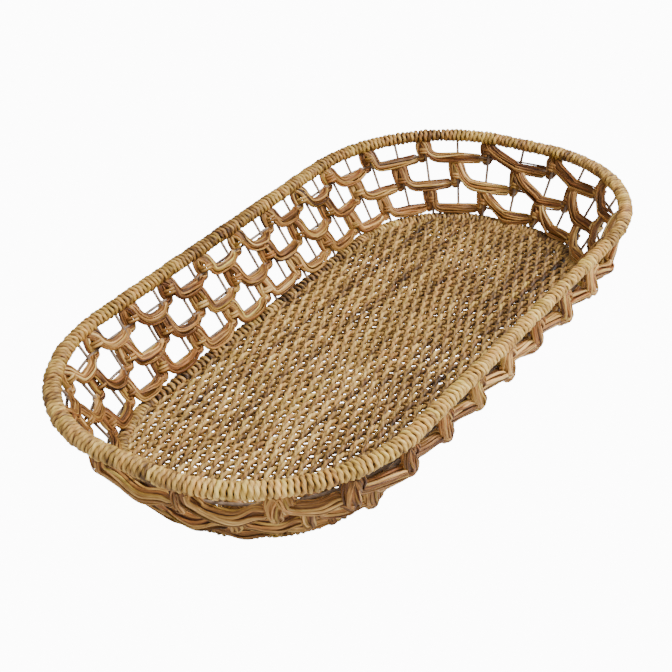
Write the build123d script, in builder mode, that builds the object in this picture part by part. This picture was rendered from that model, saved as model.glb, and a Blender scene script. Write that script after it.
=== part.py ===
"""A long, shallow bread basket of seagrass on a welded wire frame.

A wire ring carries the rim and a smaller one the base. Upright wires join the two, leaning
outward, and three more rings tie the uprights. Seagrass cord is wound round the rim and the base
border, cords are woven over and under the cross wires of the base, and three rows of strand
bundles hang in swags round the wall, each row hitched to the row above with strands wound round
every other upright. Frame: +X along the length, +Z up, origin on the table under the middle.
"""

from build123d import *
import math
import os

# Overall sizes, over the wound rim
overall_length = 460.0
overall_width = 257.0
overall_height = 66.0

# Plan of the rim and lean of the wall
rim_corner_radius = 104.0  # of the rim's centreline
end_flare = 29.0  # how far the rim's centreline stands out past the base ring's, at the ends
side_flare = 34.0  # the same at the long sides
least_straight = 2.0  # half of the straight wire that is always left between two corners

# Wound rim and base border
rim_wrap_width = 12.0
rim_wrap_height = 10.0
base_wrap_width = 10.0
base_wrap_height = 9.2
base_centre_height = 4.3
wrap_thickness = 2.4

# Wire frame
ring_wire_diameter = 3.0
wire_diameter = 2.0
intervals_per_side = 7
intervals_per_end = 7
side_pitch = 36.4  # between posts along a long side
row_depths = {"upper": 0.26, "middle": 0.57, "lower": 0.86}  # share of the way down the wall

# Strand bundles of the wall
swag_thickness = 4.6
swag_heights = {"upper": 6.6, "middle": 6.6, "lower": 4.8}
swag_sags = {"upper": 6.0, "middle": 5.5, "lower": 0.8}
hitch_diameter = 8.0
hitch_side_gap = 2.6  # from a hitch to the end of the swag beside it, measured along the rim

# Woven base
weft_diameter = 3.1
weft_pitch = 3.75
cross_wire_pitch = 16.4

# Clearances
fit_gap = 0.05  # between pieces that touch on the real basket
weld_gap = 0.2  # from an upright's end to the ring wire that it is welded to
swag_gap = 0.4  # between a strand bundle and the wires and bundles beside it

# Worked out from the sizes above
rim_half_length = (overall_length - rim_wrap_width) / 2
rim_half_width = (overall_width - rim_wrap_width) / 2
rim_centre_height = overall_height - rim_wrap_height / 2
wall_drop = rim_centre_height - base_centre_height
widest_corner = min(rim_half_length, rim_half_width) - max(side_flare - end_flare, 0) - least_straight
corner_radius = min(rim_corner_radius, widest_corner)
straight_half_length = rim_half_length - corner_radius
core_bore_radius = ring_wire_diameter / 2 + fit_gap
wire_bore_radius = wire_diameter / 2 + fit_gap
steepest_lean = math.atan2(max(end_flare, side_flare), wall_drop)
row_outset = (wire_diameter + fit_gap) / math.cos(steepest_lean)
row_lift = row_outset * math.sin(steepest_lean)  # of a row wire, measured up the wall
swag_inset = (wire_diameter / 2 + swag_gap + swag_thickness / 2) / math.cos(steepest_lean)
swag_drop = swag_inset * math.sin(steepest_lean)  # of a swag's place inside, down the wall

os.makedirs("parts", exist_ok=True)


def plan(depth, outset=0.0):
    """Half-length, half-width, corner radius and height of the wall's outline at a depth."""
    return (
        rim_half_length - depth * end_flare + outset,
        rim_half_width - depth * side_flare + outset,
        corner_radius - depth * end_flare + outset,
        rim_centre_height - depth * wall_drop,
    )


def outline_wire(depth, outset=0.0):
    """The closed outline of the wall at a depth, as a path."""
    half_length, half_width, corner, height = plan(depth, outset)
    with BuildSketch(Plane.XY.offset(height)) as outline:
        RectangleRounded(2 * half_length, 2 * half_width, corner)
    return outline.wires()[0]


def section_plane(depth, outset=0.0):
    """The plane across a ring at the middle of the +X end."""
    half_length, _, _, height = plan(depth, outset)
    return Plane(origin=(half_length, 0, height), x_dir=(1, 0, 0), z_dir=(0, -1, 0))


# Places round the rim's centreline, in millimetres from the middle of the -Y side towards +X
side_half = straight_half_length
end_half = rim_half_width - corner_radius
corner_arc = math.pi / 2 * corner_radius
rim_perimeter = 4 * (side_half + end_half + corner_arc)
end_weights = [min(i + 1, intervals_per_end - i) for i in range(intervals_per_end)]
end_growth = (
    rim_perimeter / 2 - (intervals_per_side + intervals_per_end) * side_pitch
) / sum(end_weights)
half_round = [side_pitch] * intervals_per_side + [
    side_pitch + weight * end_growth for weight in end_weights
]
intervals = half_round + half_round
posts = [sum(intervals[:i]) - intervals_per_side * side_pitch / 2 for i in range(len(intervals))]
middles = [post + interval / 2 for post, interval in zip(posts, intervals)]


def plan_direction(place):
    """Quarter mirror signs, which stretch of the quarter a place is on, and how far along it."""
    half_perimeter = rim_perimeter / 2
    turned = place % rim_perimeter
    flip = 1
    if turned > half_perimeter:
        turned -= half_perimeter
        flip = -1
    mirrored = turned > half_perimeter / 2
    if mirrored:
        turned = half_perimeter - turned
    along_sign = flip
    across_sign = flip if mirrored else -flip
    if turned <= side_half:
        return along_sign, across_sign, "side", turned
    if turned <= side_half + corner_arc:
        return along_sign, across_sign, "corner", (turned - side_half) / corner_radius
    return along_sign, across_sign, "end", side_half + corner_arc + end_half - turned


def wall_point(place, depth, outset=0.0):
    """A point of the wall at a place round the rim and a depth, set out along its level normal."""
    half_length, half_width, corner, height = plan(depth, outset)
    along_sign, across_sign, stretch, value = plan_direction(place)
    if stretch == "side":
        along, across = value, half_width
    elif stretch == "corner":
        along = half_length - corner + corner * math.sin(value)
        across = half_width - corner + corner * math.cos(value)
    else:
        along = half_length
        across = value * (half_width - corner) / end_half
    return Vector(along_sign * along, across_sign * across, height)


def wall_axis(place):
    """The line down the wall at a place: its start at the rim, unit direction and length."""
    top = wall_point(place, 0)
    run = wall_point(place, 1) - top
    return top, run.normalized(), run.length


def round_bar(place, start, stop, radius, mode=Mode.ADD):
    """A round bar down the wall at a place, between two distances from the rim's centreline."""
    top, down, _ = wall_axis(place)
    with BuildSketch(Plane(origin=top + down * start, z_dir=down)) as bar_end:
        Circle(radius)
    extrude(bar_end.sketch, amount=stop - start, mode=mode)


def finish(piece, name):
    """Label a finished piece and write it."""
    piece.part.label = name
    export_step(piece.part, f"parts/{name}.step")


# Ring wires of the rim and of the base, at the heart of their windings
for ring_name, ring_depth in (("rim_ring_wire", 0), ("base_ring_wire", 1)):
    with BuildPart() as ring_wire:
        with BuildSketch(section_plane(ring_depth)):
            Circle(ring_wire_diameter / 2)
        sweep(path=outline_wire(ring_depth))
    finish(ring_wire, ring_name)

# Row wires, tacked to the outer side of the uprights
for row_name, row_depth in row_depths.items():
    with BuildPart() as row_wire:
        with BuildSketch(section_plane(row_depth, row_outset)):
            Circle(wire_diameter / 2)
        sweep(path=outline_wire(row_depth, row_outset))
    finish(row_wire, f"{row_name}_row_wire")

# Upright wires, from the rim's ring wire to the base's, at every post and midway between posts
upright_start = ring_wire_diameter / 2 + weld_gap
with BuildPart() as upright_wires:
    for upright in posts + middles:
        wall_length = wall_axis(upright)[2]
        round_bar(upright, upright_start, wall_length - upright_start, wire_diameter / 2)
finish(upright_wires, "upright_wires")

# Filler of the rim: a bundle of strands laid along the ring wire, notched for the uprights
core_width = rim_wrap_width - 2 * (wrap_thickness + fit_gap)
core_height = rim_wrap_height - 2 * (wrap_thickness + fit_gap)
with BuildPart() as rim_core:
    with BuildSketch(section_plane(0)):
        Ellipse(core_width / 2, core_height / 2)
        Circle(core_bore_radius, mode=Mode.SUBTRACT)
    sweep(path=outline_wire(0))
    for upright in posts + middles:
        round_bar(upright, 0, rim_wrap_width, wire_bore_radius, Mode.SUBTRACT)
finish(rim_core, "rim_core")

# Cord wound round the rim, let in where the uprights pass
with BuildPart() as rim_wrap:
    with BuildSketch(section_plane(0)):
        Ellipse(rim_wrap_width / 2, rim_wrap_height / 2)
        Ellipse(core_width / 2 + fit_gap, core_height / 2 + fit_gap, mode=Mode.SUBTRACT)
    sweep(path=outline_wire(0))
    for upright in posts + middles:
        round_bar(upright, 0, rim_wrap_width, wire_bore_radius, Mode.SUBTRACT)
finish(rim_wrap, "rim_wrap")

# Cord wound round the base ring wire, flat underneath where the basket stands
with BuildPart() as base_edge_wrap:
    with BuildSketch(section_plane(1)):
        Ellipse(base_wrap_width / 2, base_wrap_height / 2)
        with Locations((0, -base_centre_height)):
            Rectangle(
                base_wrap_width,
                base_wrap_height,
                align=(Align.CENTER, Align.MIN),
                mode=Mode.INTERSECT,
            )
        Circle(core_bore_radius, mode=Mode.SUBTRACT)
    sweep(path=outline_wire(1))
    for upright in posts + middles:
        wall_length = wall_axis(upright)[2]
        round_bar(
            upright, wall_length - base_wrap_width, wall_length, wire_bore_radius, Mode.SUBTRACT
        )
finish(base_edge_wrap, "base_edge_wrap")

# Cross wires of the base, butting on the inner side of the border
mat_half_length, mat_half_width, mat_corner, mat_height = plan(
    1, -(base_wrap_width / 2 + fit_gap)
)
cross_wires_each_side = int(mat_half_length / cross_wire_pitch - 0.25)
cross_wire_places = [
    i * cross_wire_pitch for i in range(-cross_wires_each_side, cross_wires_each_side + 1)
]


def trim_to_border():
    """Trim what stands in the builder to the inner side of the base border."""
    with BuildSketch(Plane.XY) as inside:
        RectangleRounded(2 * mat_half_length, 2 * mat_half_width, mat_corner)
    extrude(inside.sketch, amount=2 * base_wrap_height, mode=Mode.INTERSECT)


with BuildPart() as base_cross_wires:
    with BuildSketch(Plane.XZ.offset(-mat_half_width)):
        with Locations(*[(place, mat_height) for place in cross_wire_places]):
            Circle(wire_diameter / 2)
    extrude(amount=2 * mat_half_width)
    trim_to_border()
finish(base_cross_wires, "base_cross_wires")

# Weft cords of the base, each passing over and under the cross wires in turn. Neighbours are in
# opposite step, so a cord that goes over a wire lies between two that go under it.
weft_rise = (weft_diameter + wire_diameter) / 2 + fit_gap
wefts_each_side = int((mat_half_width - weft_diameter / 2) / weft_pitch)
weft_places = [i * weft_pitch for i in range(-wefts_each_side, wefts_each_side + 1)]
for weft_name, first_weft, first_side in (("odd_weft_cords", 0, 1), ("even_weft_cords", 1, -1)):
    with BuildPart() as weft_cords:
        with BuildLine(Plane.XZ) as weft_path:
            side = first_side
            for place in [cross_wire_places[0] - cross_wire_pitch] + cross_wire_places + [
                cross_wire_places[-1] + cross_wire_pitch
            ]:
                ThreePointArc(
                    (place - cross_wire_pitch / 2, mat_height),
                    (place, mat_height + side * weft_rise),
                    (place + cross_wire_pitch / 2, mat_height),
                )
                side = -side
        weft_start = weft_path.line @ 0
        weft_heading = weft_path.line % 0
        with BuildSketch(Plane(origin=weft_start, x_dir=(0, 1, 0), z_dir=weft_heading)):
            with Locations(*[(place, 0) for place in weft_places[first_weft::2]]):
                Circle(weft_diameter / 2)
        sweep(path=weft_path.line)
        trim_to_border()
    finish(weft_cords, weft_name)

# Wall bundles. The hitches of the upper and lower rows are wound on the posts and the middle
# row's on the wires midway between them, where the swags above hang lowest.
swag_end_gap = hitch_diameter / 2 + hitch_side_gap
rows = list(row_depths)
for row_number, row_name in enumerate(rows):
    row_depth = row_depths[row_name]
    if row_number % 2:
        row_posts = middles
        row_middles = posts[1:] + posts[:1]
    else:
        row_posts = posts
        row_middles = middles

    # Swags: flat bundles of strands, hanging from hitch to hitch on the inner side
    with BuildPart() as swags:
        for i, place in enumerate(row_posts):
            next_place = row_posts[(i + 1) % len(row_posts)]
            middle = row_middles[i]
            wall_length = wall_axis(middle)[2]
            with BuildLine() as swag_path:
                ThreePointArc(
                    wall_point(place + swag_end_gap, row_depth, -swag_inset),
                    wall_point(
                        middle, row_depth + swag_sags[row_name] / wall_length, -swag_inset
                    ),
                    wall_point(next_place - swag_end_gap, row_depth, -swag_inset),
                )
            heading = swag_path.line % 0
            _, down, _ = wall_axis(place + swag_end_gap)
            across = heading.cross(down).normalized()
            with BuildSketch(Plane(origin=swag_path.line @ 0, x_dir=across, z_dir=heading)):
                Ellipse(swag_thickness / 2, swag_heights[row_name] / 2)
            sweep(path=swag_path.line)
    finish(swags, f"{row_name}_swags")

    # Hitches: strands wound round the upright, from the swag above down to the row's wire
    with BuildPart() as hitches:
        for place in row_posts:
            wall_length = wall_axis(place)[2]
            if row_number:
                row_above = rows[row_number - 1]
                hitch_top = (
                    row_depths[row_above] * wall_length
                    + swag_drop
                    + swag_sags[row_above]
                    + swag_heights[row_above] / 2
                    + swag_gap
                )
            else:
                hitch_top = rim_wrap_width / 2 + swag_gap
            hitch_bottom = row_depth * wall_length - row_lift - wire_diameter / 2 - swag_gap
            round_bar(place, hitch_top, hitch_bottom, hitch_diameter / 2)
            round_bar(place, hitch_top, hitch_bottom, wire_bore_radius, Mode.SUBTRACT)
    finish(hitches, f"{row_name}_hitches")
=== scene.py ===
import math

import bpy
import numpy as np
from mathutils import Matrix, Vector


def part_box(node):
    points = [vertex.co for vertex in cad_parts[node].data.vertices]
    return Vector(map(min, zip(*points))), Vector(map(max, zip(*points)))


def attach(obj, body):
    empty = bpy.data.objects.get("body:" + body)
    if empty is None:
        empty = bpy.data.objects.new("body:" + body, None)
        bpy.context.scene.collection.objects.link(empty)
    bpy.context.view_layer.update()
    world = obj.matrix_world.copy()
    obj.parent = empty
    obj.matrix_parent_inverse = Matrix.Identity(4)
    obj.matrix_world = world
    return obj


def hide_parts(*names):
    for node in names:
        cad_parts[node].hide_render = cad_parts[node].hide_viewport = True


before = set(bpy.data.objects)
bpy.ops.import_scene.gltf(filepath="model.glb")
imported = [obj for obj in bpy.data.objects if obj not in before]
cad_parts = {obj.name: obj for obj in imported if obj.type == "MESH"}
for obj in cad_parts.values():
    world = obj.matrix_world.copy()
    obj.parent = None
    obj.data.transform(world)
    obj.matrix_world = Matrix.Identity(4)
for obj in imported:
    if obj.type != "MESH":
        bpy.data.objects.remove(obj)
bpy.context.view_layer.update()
MM = 0.001


# The wire frame: hoops, row wires and uprights of iron wire, tacked together and dipped in dark
# brown lacquer. They are bare between the bundles of the wall, and buried in the rim and border.


class Field:
    """One value of a finish; sums and products of fields add the finish's Math nodes."""

    def __init__(self, finish, socket):
        self.finish, self.socket = finish, socket

    def maths(self, operation, first, second):
        return self.finish.node("ShaderNodeMath", {"operation": operation}, {0: first, 1: second})

    def __add__(self, other):
        return self.maths("ADD", self, other)

    def __sub__(self, other):
        return self.maths("SUBTRACT", self, other)

    def __rsub__(self, other):
        return self.maths("SUBTRACT", other, self)

    def __mul__(self, other):
        return self.maths("MULTIPLY", self, other)

    __radd__, __rmul__ = __add__, __mul__


class Finish:
    """A material under construction, with its Principled shader."""

    def __init__(self, name, **constants):
        self.material = bpy.data.materials.new(name)
        self.material.use_nodes = True
        self.tree = self.material.node_tree
        self.shader = self.tree.nodes["Principled BSDF"]
        self.put(self.shader, {key.replace("_", " "): value for key, value in constants.items()})

    def put(self, node, sockets):
        """Set or link a node's sockets."""
        for key, value in sockets.items():
            if isinstance(value, Field):
                self.tree.links.new(value.socket, node.inputs[key])
            else:
                node.inputs[key].default_value = value

    def node(self, kind, settings, sockets, output=0):
        """Add a node with its settings made first and its sockets set or linked after."""
        node = self.tree.nodes.new(kind)
        for key, value in settings.items():
            if key == "stops":
                elements = node.color_ramp.elements
                while len(elements) < len(value):
                    elements.new(0.5)
                for element, (place, colour) in zip(elements, value):
                    element.position = place
                    element.color = (*colour, 1)
            else:
                setattr(node, key, value)
        self.put(node, sockets)
        return Field(self, node.outputs[output])

    def read(self, name, output):
        """A value stored on the mesh: output 1 is a vector and 2 a number."""
        return self.node("ShaderNodeAttribute", {"attribute_name": name}, {}, output)

    def surface(self, **links):
        self.put(self.shader, {key.replace("_", " "): value for key, value in links.items()})


def lacquered_wire():
    finish = Finish("lacquered_wire", Metallic=0.1, Specular_IOR_Level=0.5)
    place = finish.node("ShaderNodeTexCoord", {}, {}, "Object")
    wear = finish.node("ShaderNodeTexNoise", {}, {"Vector": place, "Scale": 160.0, "Detail": 4.0})
    rust = finish.node(
        "ShaderNodeValToRGB",
        {
            "stops": [
                (0.30, (0.130, 0.082, 0.054)),
                (0.55, (0.250, 0.170, 0.112)),
                (0.75, (0.380, 0.270, 0.180)),
            ]
        },
        {"Fac": wear},
    )
    skin = finish.node("ShaderNodeBump", {}, {"Strength": 0.2, "Distance": 0.0003, "Height": wear})
    finish.surface(Base_Color=rust, Roughness=0.35 + wear * 0.3, Normal=skin)
    return finish.material


wire_finish = lacquered_wire()
for node in (
    "rim_ring_wire",
    "base_ring_wire",
    "upper_row_wire",
    "middle_row_wire",
    "lower_row_wire",
    "upright_wires",
):
    for slot in bpy.data.objects[node].material_slots:
        slot.material = wire_finish


# The rim: about three hundred and fifty turns of two-ply seagrass cord, wound side by side by
# hand over a bundle of strands. The turns lean a little, ride up on each other here and there,
# and are palest along the near side.

corner_radius = 104 * MM
ring_wire_radius = 1.5 * MM
low, high = (Vector(corner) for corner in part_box("rim_ring_wire"))
rim_half_length = high.x - ring_wire_radius
rim_half_width = high.y - ring_wire_radius
rim_height = (low.z + high.z) / 2
low, high = (Vector(corner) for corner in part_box("base_ring_wire"))
end_flare = rim_half_length - (high.x - ring_wire_radius)
side_flare = rim_half_width - (high.y - ring_wire_radius)
base_height = (low.z + high.z) / 2
wall_drop = rim_height - base_height
side_half = rim_half_length - corner_radius
end_half = rim_half_width - corner_radius
corner_arc = math.pi / 2 * corner_radius
rim_perimeter = 4 * (side_half + corner_arc + end_half)
wall_lean = math.atan2((end_flare + side_flare) / 2, wall_drop)
wall_length = wall_drop / math.cos(wall_lean)


def on_wall(place, down, out=0.0):
    """Points of the wall: how far round the rim from the middle of the -Y side, how far down the
    wall from the rim's centre, and how far outward along the wall's normal. Also the level
    outward direction there."""
    place, down, out = np.broadcast_arrays(*(np.asarray(v, float) for v in (place, down, out)))
    share = down / wall_length
    half_round = rim_perimeter / 2
    place = place % rim_perimeter
    turned = place > half_round
    place = np.where(turned, place - half_round, place)
    mirrored = place > half_round / 2
    place = np.where(mirrored, half_round - place, place)
    angle = np.clip((place - side_half) / corner_radius, 0, math.pi / 2)
    radius = corner_radius - share * end_flare
    inner_length = rim_half_length - corner_radius
    inner_width = rim_half_width - share * side_flare - radius
    past = np.clip(place - side_half - corner_arc, 0, end_half)
    x = np.minimum(place, side_half) - side_half + inner_length + radius * np.sin(angle)
    y = -(inner_width * (1 - past / end_half) + radius * np.cos(angle))
    normal_x, normal_y = np.sin(angle), -np.cos(angle)
    y, normal_y = (np.where(mirrored, -v, v) for v in (y, normal_y))
    x, y, normal_x, normal_y = (np.where(turned, -v, v) for v in (x, y, normal_x, normal_y))
    level = out * math.cos(wall_lean)
    z = rim_height - share * wall_drop - out * math.sin(wall_lean)
    points = np.stack([x + level * normal_x, y + level * normal_y, z], -1)
    return points, np.stack([normal_x, normal_y, np.zeros_like(x)], -1)


def unit(vectors):
    return vectors / np.linalg.norm(vectors, axis=-1, keepdims=True)


class Strands:
    """Closed strands and cords gathered into one mesh, each point knowing its place along the
    fibre and its tone, painted shade included."""

    fibre_stretch = 14  # how much longer than they are wide the fibres run
    # painted shade, darkening the groove between the two plies
    groove_shade = 1.1  # how dark the groove between the two plies is

    def __init__(self):
        self.points, self.faces, self.grain, self.tone = [], [], [], []
        self.count = 0

    def lay(self, line, facing, width, thickness, tone, sides=8, waist=0, lay_length=0, painted_flank_shade=0):
        """Lay one strand along a line. facing is across its thickness; a waist makes the section
        that of a two-ply cord, which turns once in each lay length, with painted shade in the
        groove between the plies. The flanks, turned toward neighbouring strands, are darkened by
        painted shade of the given amount."""
        line = np.asarray(line)
        steps = len(line)
        heading = unit(np.gradient(line, axis=0))
        across = unit(np.cross(heading, facing))
        facing = np.cross(across, heading)
        run = np.concatenate([[0], np.cumsum(np.linalg.norm(np.diff(line, axis=0), axis=1))])
        around = np.linspace(0, 2 * math.pi, sides, endpoint=False)[None, :]
        swing = run[:, None] * 2 * math.pi / lay_length if lay_length else 0.0
        pinch = np.cos(2 * (around - swing)) * np.ones((steps, 1))
        radius = 1 + waist * pinch
        sideways = np.cos(around) * radius * np.broadcast_to(width, steps)[:, None] / 2
        upward = np.sin(around) * radius * np.broadcast_to(thickness, steps)[:, None] / 2
        ring = (
            line[:, None, :]
            + across[:, None, :] * sideways[..., None]
            + facing[:, None, :] * upward[..., None]
        )
        turn = around - swing / 2
        spot = self.count * 0.0137 % 7  # so that no two strands have the same fibres
        half_width = float(np.mean(width)) / 2
        grain = np.stack(
            [
                np.broadcast_to(run[:, None] / self.fibre_stretch + spot, ring.shape[:2]),
                np.cos(turn) * half_width * np.ones((steps, 1)) + spot,
                np.sin(turn) * half_width * np.ones((steps, 1)),
            ],
            -1,
        )
        # painted shade in the groove between the two plies
        painted_groove_shade = self.groove_shade * waist * (pinch - 1) / 2
        shade = np.broadcast_to(tone, steps)[:, None] + painted_groove_shade
        # painted shade on the flanks, where neighbouring strands would shade each other
        shade = shade - painted_flank_shade * np.cos(around) ** 4
        start = self.count
        index = start + np.arange(steps * sides).reshape(steps, sides)
        nearby = np.roll(index, -1, axis=1)
        quads = np.stack([index[:-1], nearby[:-1], nearby[1:], index[1:]], -1).reshape(-1, 4)
        self.faces += quads.tolist()
        self.faces += [index[0, ::-1].tolist(), index[-1].tolist()]
        self.points.append(ring.reshape(-1, 3))
        self.grain.append(grain.reshape(-1, 3))
        self.tone.append(shade.reshape(-1))
        self.count += steps * sides

    def make(self, name, material, slot, *nodes):
        """Make the piece, riding on the basket in place of its CAD nodes."""
        mesh = bpy.data.meshes.new(name)
        mesh.from_pydata(np.concatenate(self.points).tolist(), [], self.faces)
        mesh.attributes.new("grain", "FLOAT_VECTOR", "POINT").data.foreach_set(
            "vector", np.concatenate(self.grain).astype(np.float32).ravel()
        )
        mesh.attributes.new("tone", "FLOAT", "POINT").data.foreach_set(
            "value", np.concatenate(self.tone).astype(np.float32)
        )
        mesh.shade_smooth()
        mesh.materials.append(material)
        piece = bpy.data.objects.new(name, mesh)
        bpy.context.scene.collection.objects.link(piece)
        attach(piece, "root")
        if nodes:
            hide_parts(*nodes)
        return piece


def drifting(rng, count, step, amount):
    """A smooth random drift along count samples, with a new value about every step samples."""
    knots = rng.normal(0, amount, max(int(count / step) + 3, 4))
    return np.interp(np.arange(count) / step, np.arange(len(knots)), knots)


def seagrass(name, stops, olive, blush, streaks):
    """Dry seagrass: a tone for each strand, fine fibres along it, olive and pinkish lengths, and
    a satin skin with shallow ridges."""
    finish = Finish(name, Specular_IOR_Level=0.35)
    grain = finish.read("grain", 1)
    # the strands' tone, with the painted shade of grooves, flanks and the base's dips laid into it
    tone = finish.read("tone", 2)
    fibre = finish.node(
        "ShaderNodeTexNoise", {}, {"Vector": grain, "Scale": 1500.0, "Detail": 3.0}
    )
    patch = finish.node("ShaderNodeTexNoise", {}, {"Vector": grain, "Scale": 260.0, "Detail": 1.0})
    hue = finish.node("ShaderNodeTexNoise", {}, {"Vector": grain, "Scale": 170.0, "Detail": 1.0})
    shade = tone + (fibre - 0.5) * streaks + (patch - 0.5) * 0.45
    straw = finish.node("ShaderNodeValToRGB", {"stops": stops}, {"Fac": shade})
    green = finish.node(
        "ShaderNodeMapRange", {}, {"Value": hue, 1: 0.52, 2: 0.68, 3: 0.0, 4: olive}
    )
    pink = finish.node(
        "ShaderNodeMapRange", {}, {"Value": hue, 1: 0.46, 2: 0.34, 3: 0.0, 4: blush}
    )
    tinted = finish.node(
        "ShaderNodeMix",
        {"data_type": "RGBA", "blend_type": "MULTIPLY"},
        {0: green, 6: straw, 7: (0.72, 0.80, 0.38, 1)},
        2,
    )
    flushed = finish.node(
        "ShaderNodeMix",
        {"data_type": "RGBA", "blend_type": "MULTIPLY"},
        {0: pink, 6: tinted, 7: (1.0, 0.66, 0.50, 1)},
        2,
    )
    ridges = finish.node(
        "ShaderNodeBump", {}, {"Strength": 0.8, "Distance": 0.0005, "Height": fibre}
    )
    finish.surface(Base_Color=flushed, Roughness=0.62 - fibre * 0.2, Normal=ridges)
    return finish.material


rim_grass = seagrass(
    "rim_seagrass",
    [
        (0.00, (0.026, 0.010, 0.002)),
        (0.28, (0.150, 0.068, 0.015)),
        (0.50, (0.390, 0.218, 0.052)),
        (0.72, (0.620, 0.380, 0.092)),
        (0.95, (0.840, 0.590, 0.185)),
    ],
    olive=0.5,
    blush=0.35,
    streaks=0.7,
)

cord_waist = 0.17
cord_flattening = 0.92
cord_inset = 0.46  # from a winding's outer face to the cord's own centre, in cords
winding_lay = 2.9  # length of a full twist of the two plies, in cords
# how dark the painted shade on the flanks of the wound cords and the wefts is
flank_shade = 0.34
stretches = 4


def wound_cord(rng, down, pitch, cord, across, upward, samples, lean, tone, plump):
    """Cord wound round the rim or the border: how far down the wall, the turns' pitch and
    thickness, the winding's half width and half height, samples in a turn and the turns' lean."""
    strands = Strands()
    centre, _ = on_wall(np.linspace(0, rim_perimeter, 2000), down)
    length = np.linalg.norm(np.diff(centre, axis=0), axis=1).sum()
    turns = int(length / pitch)
    steps = rng.normal(1, 0.085, turns + 1).clip(0.75, 1.25)
    marks = np.concatenate([[0], np.cumsum(steps)])
    marks *= rim_perimeter / marks[turns]
    count = turns * samples
    turn = np.arange(count + 1) / samples
    angle = turn * 2 * math.pi
    place = np.interp(turn, np.arange(len(marks)), marks) + lean * np.cos(angle)
    swell = plump(place) + drifting(rng, count + 1, samples, 0.055)
    centre, outward = on_wall(place, down)
    reach = across - cord * cord_inset
    height = upward - cord * cord_inset
    spoke = outward * (np.cos(angle) * reach * swell)[:, None]
    spoke[:, 2] += np.sin(angle) * height * swell
    shade = tone(place) + drifting(rng, count + 1, samples * 9, 0.06)
    shade = shade + np.repeat(rng.normal(0, 0.08, turns + 1), samples)[: count + 1]
    width = cord * (1.02 + drifting(rng, count + 1, samples, 0.06))
    stretch = count // stretches
    for first in range(0, count - stretches + 1, stretch):
        part = slice(first, min(first + stretch + 1, count + 1))
        strands.lay(
            (centre + spoke)[part],
            unit(spoke[part]),
            width[part],
            cord * cord_flattening,
            shade[part],
            sides=10,
            waist=cord_waist,
            lay_length=cord * winding_lay,
            painted_flank_shade=flank_shade,
        )
    return strands


def rim_tone(place):
    """Palest along the near side, browner round the far end and the far side."""
    near = np.cos((place / rim_perimeter - 0.93) * 2 * math.pi)
    return 0.66 + 0.12 * near


def rim_plump(place):
    """The rim is thickest at the left end and thinnest along the near side, then the far one."""
    left = np.cos((place / rim_perimeter - 0.75) * 2 * math.pi)
    near = np.cos((place / rim_perimeter - 0.04) * 2 * math.pi)
    far_left = np.exp(-(((place / rim_perimeter - 0.62) / 0.08) ** 2))
    return 0.98 + 0.05 * left - 0.25 * np.clip(near, 0, 1) ** 2 - 0.08 * far_left


rim = wound_cord(
    np.random.default_rng(11),
    down=0.0,
    pitch=3.45 * MM,
    cord=3.4 * MM,
    across=6.0 * MM,
    upward=4.9 * MM,
    samples=24,
    lean=0.5 * MM,
    tone=rim_tone,
    plump=rim_plump,
)
rim.make("rim_cord", rim_grass, "seagrass_rim", "rim_wrap")
for slot in bpy.data.objects["rim_core"].material_slots:
    slot.material = rim_grass


# The base: two-ply seagrass cords woven lengthwise, over and under thinner cross cords. The rows
# wander a little, and small holes open where two neighbouring cords part round a cross cord.

base_grass = seagrass(
    "base_seagrass",
    [
        (0.00, (0.018, 0.007, 0.002)),
        (0.28, (0.110, 0.050, 0.012)),
        (0.52, (0.375, 0.210, 0.056)),
        (0.75, (0.650, 0.420, 0.124)),
        (0.97, (0.880, 0.660, 0.260)),
    ],
    olive=0.5,
    blush=0.35,
    streaks=0.7,
)

weft_pitch = 3.75 * MM
weft_cord = 3.6 * MM
weft_rise = 1.35 * MM
weft_lay = 2.6 * weft_cord
weft_waist = 0.15
weft_step = 1.05 * MM
warp_pitch = 8.2 * MM
warp_cord = 2.0 * MM
warp_rise = 0.7 * MM
warp_step = 0.94 * MM
mat_height = base_height + 0.1 * MM
straight_edge = 12 * MM  # at each end of a weft, where it runs straight into the border
border_across = 5.0 * MM
border_hold = 1.5 * MM  # how far the mat runs in under the border's cord
mat_half_length = rim_half_length - end_flare - border_across + border_hold
mat_half_width = rim_half_width - side_flare - border_across + border_hold
mat_corner = corner_radius - end_flare - border_across + border_hold


def mat_reach(across):
    """Half the mat's length at a distance across from its middle."""
    past = max(abs(across) - (mat_half_width - mat_corner), 0)
    return mat_half_length - mat_corner + math.sqrt(max(mat_corner**2 - past**2, 0))


def mat_breadth(along):
    """Half the mat's width at a distance along from its middle."""
    past = max(abs(along) - (mat_half_length - mat_corner), 0)
    return mat_half_width - mat_corner + math.sqrt(max(mat_corner**2 - past**2, 0))


def wander(x, y):
    """How far the rows of the weave stray sideways."""
    return (
        1.1 * np.sin(x / 0.031 + y / 0.045)
        + 0.8 * np.sin(x / 0.0145 - y / 0.022 + 1.3)
        + 0.5 * np.sin(x / 0.008 + y / 0.013 + 0.4)
    ) * 0.6 * MM


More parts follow.
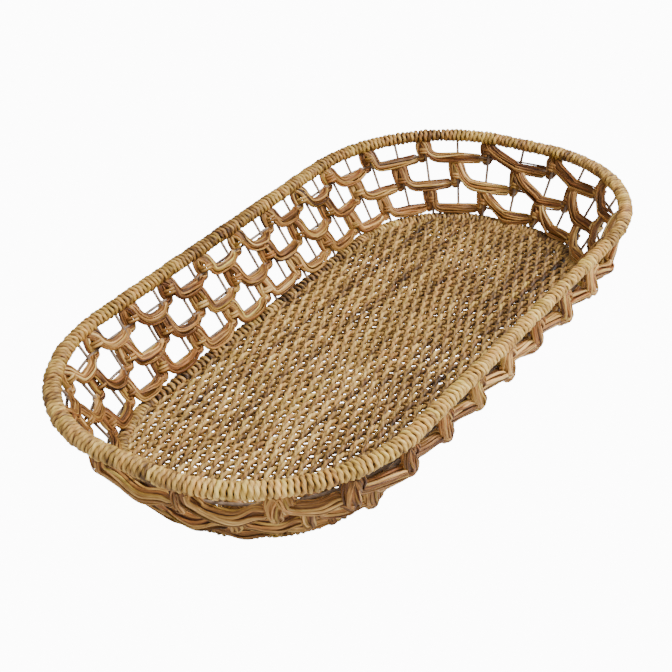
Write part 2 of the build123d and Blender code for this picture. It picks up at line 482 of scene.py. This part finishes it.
rng = np.random.default_rng(23)
weft_groups = (Strands(), Strands())
wefts_each_side = int((mat_half_width - 1 * MM) / weft_pitch)
for row in range(-wefts_each_side, wefts_each_side + 1):
    across = row * weft_pitch
    reach = mat_reach(across) - rng.uniform(0, 1.0) * MM
    steps = max(int(2 * reach / weft_step), 8)
    x = np.linspace(-reach, reach, steps)
    edge = 1 - np.clip((np.abs(x) - reach + straight_edge) / straight_edge, 0, 1)
    phase = np.cos(math.pi * x / warp_pitch)
    rise = weft_rise * (1 - 2 * (row % 2)) * np.sign(phase) * np.abs(phase) ** 0.8
    y = across + wander(x, across) * edge + drifting(rng, steps, 14, 0.22 * MM)
    z = mat_height + rise * (0.4 + 0.6 * edge)
    shade = 0.70 + rng.normal(0, 0.06) + drifting(rng, steps, 22, 0.085)
    # painted shade: darker where the cord dips under a cross cord, and darker towards the far end
    shade = shade - 0.10 * (1 - rise / weft_rise) - 0.13 * np.clip(x / reach, 0, 1)
    # painted shadow of the near wall: darker towards the -Y side
    shade = shade - 0.08 * max(-across / mat_half_width, 0)
    weft_groups[row % 2].lay(
        np.stack([x, y, z], -1),
        np.tile([0.0, 0.0, 1.0], (steps, 1)),
        weft_cord * (1.0 + drifting(rng, steps, 10, 0.06) - 0.10 * np.abs(phase)),
        weft_cord * 0.95,
        shade,
        sides=9,
        waist=weft_waist,
        lay_length=weft_lay,
        painted_flank_shade=flank_shade,
    )
weft_groups[0].make("even_base_wefts", base_grass, "seagrass_base", "even_weft_cords")
weft_groups[1].make("odd_base_wefts", base_grass, "seagrass_base", "odd_weft_cords")

warps = Strands()
warps_each_side = int(mat_half_length / warp_pitch)
for column in range(-warps_each_side, warps_each_side + 1):
    along = column * warp_pitch
    reach = mat_breadth(along) - 0.5 * MM
    steps = max(int(2 * reach / warp_step), 8)
    y = np.linspace(-reach, reach, steps)
    swing = -np.cos(math.pi * y / weft_pitch) * (1 - 2 * (column % 2))
    x = along + drifting(rng, steps, 16, 0.3 * MM)
    z = mat_height + warp_rise * swing
    warps.lay(
        np.stack([x, y, z], -1),
        np.tile([0.0, 0.0, 1.0], (steps, 1)),
        warp_cord,
        warp_cord * 0.8,
        0.42 + rng.normal(0, 0.05),
        sides=6,
    )
warps.make("base_warps", base_grass, "seagrass_base", "base_cross_wires")

border = wound_cord(
    np.random.default_rng(31),
    down=wall_length,
    pitch=3.6 * MM,
    cord=3.5 * MM,
    across=border_across,
    upward=3.9 * MM,
    samples=20,
    lean=0.6 * MM,
    tone=lambda place: 0.55 + 0 * place,
    plump=lambda place: 1 + 0 * place,
)
border.make("base_border_cord", base_grass, "seagrass_base", "base_edge_wrap")


# The wall: three rows of loosely bundled strands. Each bundle hangs in a swag from post to post
# of the wire frame. At a post it goes up and over the row above and down again, and is drawn
# tight with a few turns.

wall_grass = seagrass(
    "wall_seagrass",
    [
        (0.00, (0.022, 0.008, 0.003)),
        (0.25, (0.110, 0.038, 0.008)),
        (0.48, (0.290, 0.125, 0.030)),
        (0.70, (0.500, 0.280, 0.075)),
        (0.95, (0.760, 0.520, 0.190)),
    ],
    olive=0.8,
    blush=0.6,
    streaks=0.9,
)

intervals_per_side = 7
intervals_per_end = 7
side_pitch = 36.4 * MM
weights = [min(i + 1, intervals_per_end - i) for i in range(intervals_per_end)]
growth = (rim_perimeter / 2 - (intervals_per_side + intervals_per_end) * side_pitch) / sum(weights)
half_round = [side_pitch] * intervals_per_side + [side_pitch + w * growth for w in weights]
gaps = np.array(half_round * 2)
posts = np.cumsum(gaps) - gaps - intervals_per_side * side_pitch / 2
middles = posts + gaps / 2


def smooth_path(knots, samples):
    """A smooth line through knots, given as rows of place, down and out."""
    knots = np.asarray(knots)
    ends = np.vstack([2 * knots[0] - knots[1], knots, 2 * knots[-1] - knots[-2]])
    spans = len(knots) - 1
    t = np.linspace(0, spans, samples)
    k = np.minimum(t.astype(int), spans - 1)
    u = (t - k)[:, None]
    a, b, c, d = ends[k], ends[k + 1], ends[k + 2], ends[k + 3]
    return 0.5 * (
        2 * b + (c - a) * u + (2 * a - 5 * b + 4 * c - d) * u**2 + (3 * b - a - 3 * c + d) * u**3
    )


strand_width = 2.1 * MM
strand_thickness = 1.3 * MM
strands_per_bundle = 12
samples_per_loop = 52
turn_width = 2.2 * MM
turn_thickness = 1.2 * MM
turn_rise = 2.2 * MM
row_depths = {"rim": 0.0, "upper": 0.26, "middle": 0.57, "lower": 0.86}
# For each row: its posts, the row it is looped over, how far it sags, the gap it leaves under
# that row, and how far it bulges where it passes outside the wires.
rows = {
    "upper": (posts, "rim", 5.0 * MM, 5.5 * MM, 10.6 * MM),
    "middle": (middles, "upper", 4.6 * MM, 5.0 * MM, 8.6 * MM),
    "lower": (posts, "middle", 3.0 * MM, 5.0 * MM, 3.6 * MM),
}


far_slide = (rim_perimeter / 2 + 120 * MM, 170 * MM, 7.5 * MM)  # its middle, spread and most
corner_slide = (rim_perimeter - side_half - 120 * MM, 50 * MM, 9 * MM)


def stray(place):
    """How far a hitch has slid round the rim from its upright, toward the left end along the far
    side and past the corner between the left end and the near side."""
    slides = (far_slide, corner_slide)
    return sum(most * np.exp(-(((place - mid) / spread) ** 2)) for mid, spread, most in slides)


outside_from = rim_perimeter - side_half - 190 * MM
outside_until = side_half + 15 * MM


def is_near(place):
    """Whether the bundles pass outside the wires there, as they do along the near side and round
    the corner to its left; elsewhere they pass inside."""
    return place < outside_until or place > outside_from


slanting_until = 345 * MM  # along the rim, at the far end's middle
slanting_fade = 30 * MM


rng = np.random.default_rng(47)
for row_name, (places, row_above, sag, clear, bulge) in rows.items():
    bundles = Strands()
    turns = Strands()
    down = row_depths[row_name] * wall_length
    above = row_depths[row_above] * wall_length
    places = places % rim_perimeter
    places = places + stray(places)
    for i, place in enumerate(places):
        following = places[(i + 1) % len(places)]
        gap = (following - place) % rim_perimeter
        middle = (place + gap / 2) % rim_perimeter
        _, outward = on_wall(middle, 0)
        endwise = abs(outward[0])
        far_end = np.clip((slanting_until - middle) / slanting_fade, 0, 1)
        diagonal = endwise * (far_end if middle < rim_perimeter / 2 else 0.3)
        near_side, before, after = (
            is_near((middle + step * gap) % rim_perimeter) for step in (0, -1, 1)
        )
        ahead, beside, start = (1, before, place) if near_side else (-1, after, following)
        droop = sag * rng.uniform(0.15, 0.95) * (1 - 0.35 * endwise)
        slant = rng.uniform(0.04, 0.14) + 0.18 * diagonal
        top = above + clear + rng.uniform(-0.6, 0.6) * MM
        fall = down - top
        inside = -2.6 * MM
        outside = 0.5 * bulge + 2.0 * MM * endwise if near_side else 0
        stand = 1.2 - 0.6 * endwise if near_side else 0.3
        arrive = bulge * rng.uniform(0.85, 1.1) * stand
        leave = arrive if beside == near_side else 0.35 * arrive
        early = 1.25 - 0.25 * min(2 * endwise, 1)
        # The loop's knots: how far along from its post, how far down and how far out. They go up
        # from behind the last swag, over the row above, down again and along the swag.
        knots = [
            (-9.0 * MM, down - 0.3 * MM, 0.92 * leave if beside == near_side else inside),
            (-2.4 * MM, down + 0.2 * MM, 1.05 * leave),
            (-3.4 * MM, down - 5.0 * MM, 0.85 * leave),
            (-3.2 * MM, top + 2.0 * MM, 0.45 * leave),
            (-0.6 * MM, top - 1.8 * MM, 1.2 * MM),
            (2.0 * MM, top + 2.0 * MM, -1.8 * MM + early * outside),
            (
                3.3 * MM + diagonal * (0.16 * gap - 3.3 * MM),
                down - 3.2 * MM - diagonal * (0.45 * fall - 3.2 * MM),
                inside + (early + 0.1) * outside,
            ),
            (
                slant * gap + 4 * MM + 0.06 * diagonal * gap,
                down + droop * 0.7 - diagonal * droop * 0.5,
                inside + (early + 0.2) * outside,
            ),
            (0.52 * gap, down + droop, inside + (early + 0.6) * outside),
            (0.76 * gap, down + droop * 0.5, max(-0.6 * MM, 0.8 * arrive)),
            (gap - 4.0 * MM, down - 0.6 * MM, arrive),
        ]
        if near_side and not after:
            # The last bundle outside the wires ends in a fold of its own, over to the inside.
            knots[-1:] = [
                (gap - 3.4 * MM, down - 1.5 * MM, 0.5 * arrive),
                (gap - 3.2 * MM, top + 2.0 * MM, 0.3 * arrive),
                (gap - 0.6 * MM, top - 1.8 * MM, 1.2 * MM),
                (gap + 2.0 * MM, top + 2.0 * MM, -1.8 * MM),
                (gap + 3.3 * MM, down - 3.2 * MM, inside),
                (gap + 10.0 * MM, down + 0.4 * MM, inside),
            ]
        samples = samples_per_loop
        core = smooth_path(knots, samples)
        core_line, outward = on_wall(start + ahead * core[:, 0], core[:, 1], core[:, 2])
        # The strands lie round an oval that widens in the swag and in the limbs at the post, and
        # keeps its broad side to the wall where the loop folds over the row above.
        stage = np.linspace(0, 1, samples)
        swag = np.exp(-(((stage - 0.80) / 0.15) ** 2))
        limbs = np.exp(-(((stage - 0.38) / 0.18) ** 2))
        over = np.exp(-(((stage - 0.40) / 0.09) ** 2))
        heading = unit(np.gradient(core[:, :2], axis=0))
        side = np.where(stage[:, None] < 0.40, -1, 1) * heading[:, ::-1] * [1, -1]
        side = unit(side * (1 - over[:, None]) + np.array([1.0, 0.0]) * over[:, None])
        ends = np.clip(np.minimum(stage, 1 - stage) / 0.06, 0.25, 1)
        half_width = (2.9 + 0.8 * swag + 1.1 * limbs + 0.9 * diagonal + near_side) * MM * ends
        half_depth = (3.4 + 0.9 * endwise if near_side else 1.6) * MM * ends
        base_tone = 0.55 + (0.09 - 0.1 * endwise) * near_side + rng.normal(0, 0.07)
        twist = rng.uniform(-2.2, 2.2)
        # A core of the same grass fills each bundle between its strands, darker by painted shade
        # of the bundle's inside.
        bundles.lay(
            core_line,
            outward,
            1.8 * half_width,
            1.6 * half_depth,
            base_tone - 0.25,
            sides=8,
        )
        for n in range(strands_per_bundle):
            spin = n / strands_per_bundle * 2 * math.pi + twist * stage
            spin = spin + drifting(rng, samples, 9, 0.25)
            breadth = np.cos(spin) * half_width + drifting(rng, samples, 8, 0.25 * MM)
            line, _ = on_wall(
                start + ahead * (core[:, 0] + side[:, 0] * breadth),
                core[:, 1] + side[:, 1] * breadth,
                core[:, 2] + np.sin(spin) * half_depth,
            )
            taper = ends * (1 + drifting(rng, samples, 12, 0.14))
            bundles.lay(
                line,
                unit(line - core_line),
                strand_width * taper,
                strand_thickness * taper,
                base_tone + rng.normal(0, 0.15) + drifting(rng, samples, 12, 0.06),
                sides=7,
                # painted shade on the strands' flanks
                painted_flank_shade=0.2,
            )
        wraps = rng.choice([1.5, 2.0, 2.5])
        count = int(wraps * 14)
        angle = np.linspace(0, wraps * 2 * math.pi, count) + rng.uniform(0, 6)
        low_turn = down - 2.5 * MM
        turn_out, turn_reach = (1.6 * MM, 5.2 * MM) if near_side else (0.1 * MM, 4.3 * MM)
        rise = np.linspace(0, wraps * turn_rise, count)
        line, outward = on_wall(
            start + ahead * 0.3 * MM + np.cos(angle) * 4.6 * MM,
            low_turn - rise,
            turn_out + np.sin(angle) * turn_reach,
        )
        inner, _ = on_wall(np.full(count, start), low_turn - rise, turn_out)
        turns.lay(
            line,
            unit(line - inner),
            turn_width,
            turn_thickness,
            base_tone + rng.normal(0, 0.1),
            sides=7,
        )
    bundles.make(f"{row_name}_swag_strands", wall_grass, "seagrass_wall", f"{row_name}_swags")
    turns.make(f"{row_name}_hitch_turns", wall_grass, "seagrass_wall", f"{row_name}_hitches")


# The table: a plain white sweep that glows to the eye but lights the basket only as white paper
# would. A large soft lamp hangs above the near right, a weak one over the left, in a bright room.

floor_finish = Finish("white_table", Base_Color=(0.8, 0.8, 0.8, 1), Roughness=0.8)
paper = Field(floor_finish, floor_finish.shader.outputs[0])
glow = floor_finish.node("ShaderNodeEmission", {}, {"Strength": 12.0})
seen = floor_finish.node("ShaderNodeLightPath", {}, {}, "Is Camera Ray")
both = floor_finish.node("ShaderNodeMixShader", {}, {0: seen, 1: paper, 2: glow})
floor_finish.put(floor_finish.tree.nodes["Material Output"], {"Surface": both})
floor_mesh = bpy.data.meshes.new("table_top")
table_half = 6
corners = [(x * table_half, y * table_half, 0) for x, y in ((-1, -1), (1, -1), (1, 1), (-1, 1))]
floor_mesh.from_pydata(corners, [], [(0, 1, 2, 3)])
floor_mesh.materials.append(floor_finish.material)
floor = bpy.data.objects.new("table_top", floor_mesh)
bpy.context.scene.collection.objects.link(floor)


def lamp(name, place, size, power):
    """A square soft lamp aimed at the middle of the basket."""
    light = bpy.data.lights.new(name, "AREA")
    light.size, light.energy = size, power
    lamp_object = bpy.data.objects.new(name, light)
    lamp_object.location = place
    aim = Vector((0, 0, rim_height / 2)) - Vector(place)
    lamp_object.rotation_euler = aim.to_track_quat("-Z", "Y").to_euler()
    bpy.context.scene.collection.objects.link(lamp_object)


lamp("key_softbox", (0.45, -0.75, 1.15), size=0.45, power=38)
lamp("fill_softbox", (-1.2, -0.6, 1.0), size=1.2, power=8)
world = bpy.data.worlds.new("bright_room")
world.use_nodes = True
world.node_tree.nodes["Background"].inputs["Color"].default_value = (1, 1, 1, 1)
world.node_tree.nodes["Background"].inputs["Strength"].default_value = 0.45
bpy.context.scene.world = world


# The camera: near the left end, about a metre off, looking down along the basket and tipped a few
# degrees.

camera_azimuth = math.radians(-51.4)
camera_height = math.radians(33.2)
camera_tip = math.radians(-5.45)
camera_distance = 0.922
camera_side = -0.0203
camera_up = 0.0125
back = Vector(
    (
        math.sin(camera_azimuth) * math.cos(camera_height),
        -math.cos(camera_azimuth) * math.cos(camera_height),
        math.sin(camera_height),
    )
)
level_right = Vector((math.cos(camera_azimuth), math.sin(camera_azimuth), 0))
level_up = back.cross(level_right)
right = level_right * math.cos(camera_tip) + level_up * math.sin(camera_tip)
up = level_up * math.cos(camera_tip) - level_right * math.sin(camera_tip)
camera_data = bpy.data.cameras.new("camera")
camera_data.sensor_width = 36
camera_data.lens = 71.9
camera = bpy.data.objects.new("camera", camera_data)
place = back * camera_distance + right * camera_side + up * camera_up
camera.matrix_world = Matrix.Translation(place) @ Matrix((right, up, back)).transposed().to_4x4()
bpy.context.scene.collection.objects.link(camera)
bpy.context.scene.camera = camera
